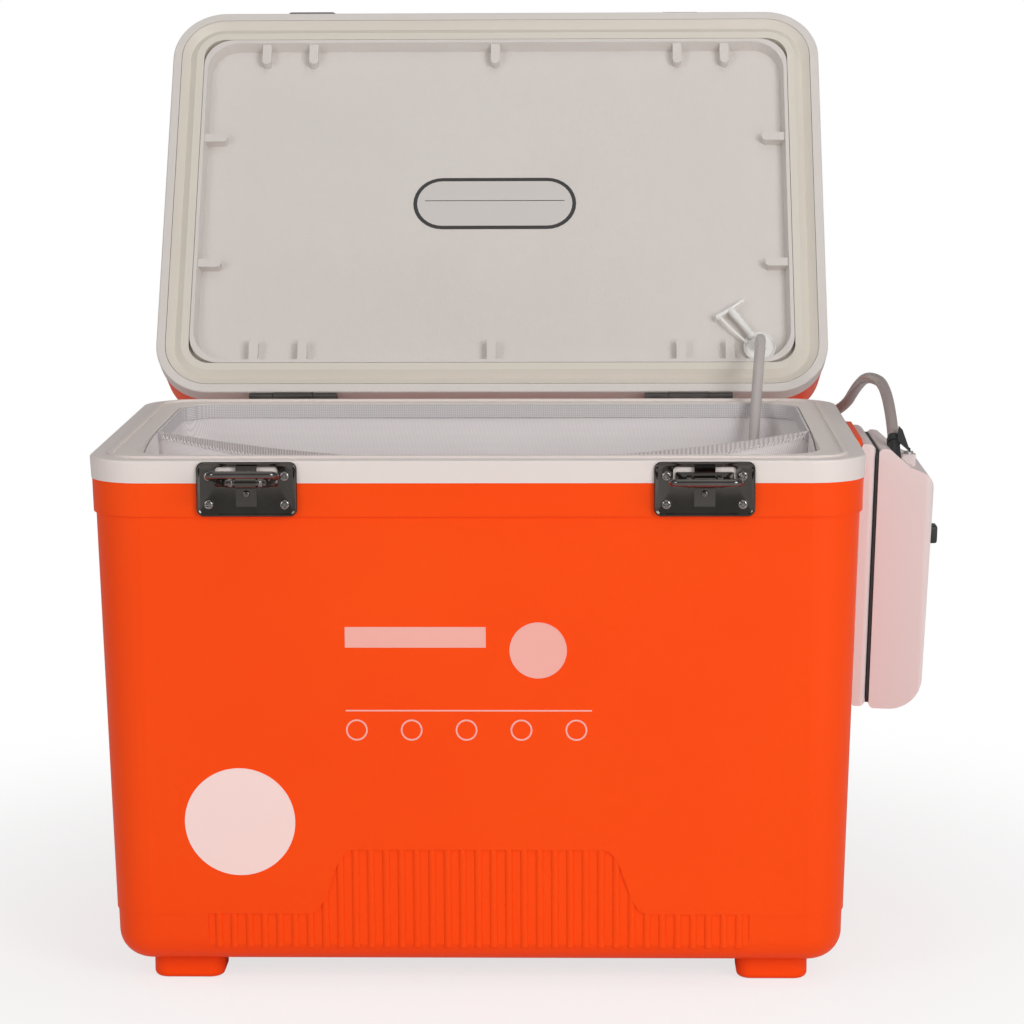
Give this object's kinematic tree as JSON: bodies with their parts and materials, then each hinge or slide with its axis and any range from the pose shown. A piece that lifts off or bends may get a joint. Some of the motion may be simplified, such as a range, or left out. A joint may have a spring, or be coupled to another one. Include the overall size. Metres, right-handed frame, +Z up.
{
  "type": "aerated bait bucket",
  "caption": "Hard-sided insulated live-bait bucket with a hinged lid, two wire bail latches, a lift-out net bag and a battery air pump feeding a stone by a hose through the lid.",
  "frame": {"origin": "on the floor, midway between the four feet", "axes": "+X to the object's right (the pump's side), +Y to the back (the hinges), +Z up"},
  "size_m": [0.4574, 0.486, 0.5202],
  "materials": {
    "orange_shell": "smooth moulded, satin gloss",
    "white_liner": "smooth moulded, satin",
    "foam": "foamed in place",
    "seal_rubber": "cream, smooth",
    "dark_chrome": "dark bright plating",
    "hinge_steel": "dark, satin",
    "pump_plastic": "smooth moulded",
    "black_rubber": "matt",
    "black_plastic": "matt",
    "clear_tube": "clear, milky",
    "port_plastic": "milky, half clear",
    "stopper_rubber": "milky, soft",
    "stone": "rough, porous",
    "net": "fine knitted mesh",
    "net_hem": "ribbed woven band",
    "steel_screw": "plain",
    "cell_wrap": "smooth wrap",
    "label": "printed film"
  },
  "bodies": {
    "base": {"body_shell": "orange_shell", "body_liner": "white_liner", "body_foam": "foam", "hinge_body_leaves": "hinge_steel", "hinge_pins": "hinge_steel", "hinge_body_screws": "hinge_steel", "latch_plate_left": "dark_chrome", "latch_plate_right": "dark_chrome", "latch_clip_left": "dark_chrome", "latch_clip_right": "dark_chrome", "latch_springs": "dark_chrome", "latch_screws": "dark_chrome", "latch_rivets": "dark_chrome", "pump_bracket": "orange_shell", "bracket_screws": "steel_screw", "pump_back_case": "pump_plastic", "pump_seam": "black_rubber", "pump_cover": "pump_plastic", "pump_head": "pump_plastic", "switch_body": "black_plastic", "battery_cells": "cell_wrap", "battery_contacts": "steel_screw", "pump_motor": "steel_screw", "air_unit": "black_plastic", "air_nozzle": "black_plastic", "nozzle_clamp": "pump_plastic", "nozzle_clamp_screw": "steel_screw", "seal_label": "label", "size_label": "label", "ring_marks": "label", "air_hose": "clear_tube"},
    "lid": {"lid_shell": "orange_shell", "lid_liner": "white_liner", "lid_foam": "foam", "lid_gasket": "seal_rubber", "hinge_lid_leaves": "hinge_steel", "hinge_lid_screws": "hinge_steel", "lid_keeper_left": "dark_chrome", "lid_keeper_right": "dark_chrome", "keeper_screws": "dark_chrome", "lid_port": "port_plastic", "port_elbow": "port_plastic", "stopper": "stopper_rubber", "lid_label": "label"},
    "bail_left": {"latch_bail_left": "dark_chrome"},
    "bail_right": {"latch_bail_right": "dark_chrome"},
    "switch": {"switch_slider": "black_rubber"},
    "net": {"net_bag": "net", "net_hem": "net_hem", "air_stone": "stone", "air_tube": "clear_tube"}
  },
  "joints": [
    {"name": "lid_hinge", "type": "hinge", "parent": "base", "child": "lid", "pos_m": [0, 0.1396, 0.2891], "axis": [-1, 0, 0], "range_deg": [-123, 0], "deforming": ["air_hose", "air_tube"]},
    {"name": "left_bail_turn", "type": "hinge", "parent": "base", "child": "bail_left", "pos_m": [-0.12, -0.1399, 0.278], "axis": [-1, 0, 0], "range_deg": [-94, 71]},
    {"name": "right_bail_turn", "type": "hinge", "parent": "base", "child": "bail_right", "pos_m": [0.12, -0.1399, 0.278], "axis": [-1, 0, 0], "range_deg": [-83, 82]},
    {"name": "switch_slide", "type": "slide", "parent": "base", "child": "switch", "axis": [-0.0297, 0, -0.9996], "range_m": [0, 0.005]},
    {"name": "net_lift", "type": "slide", "parent": "base", "child": "net", "axis": [0, 0, 1], "range_m": [0, 0.25]}
  ]
}
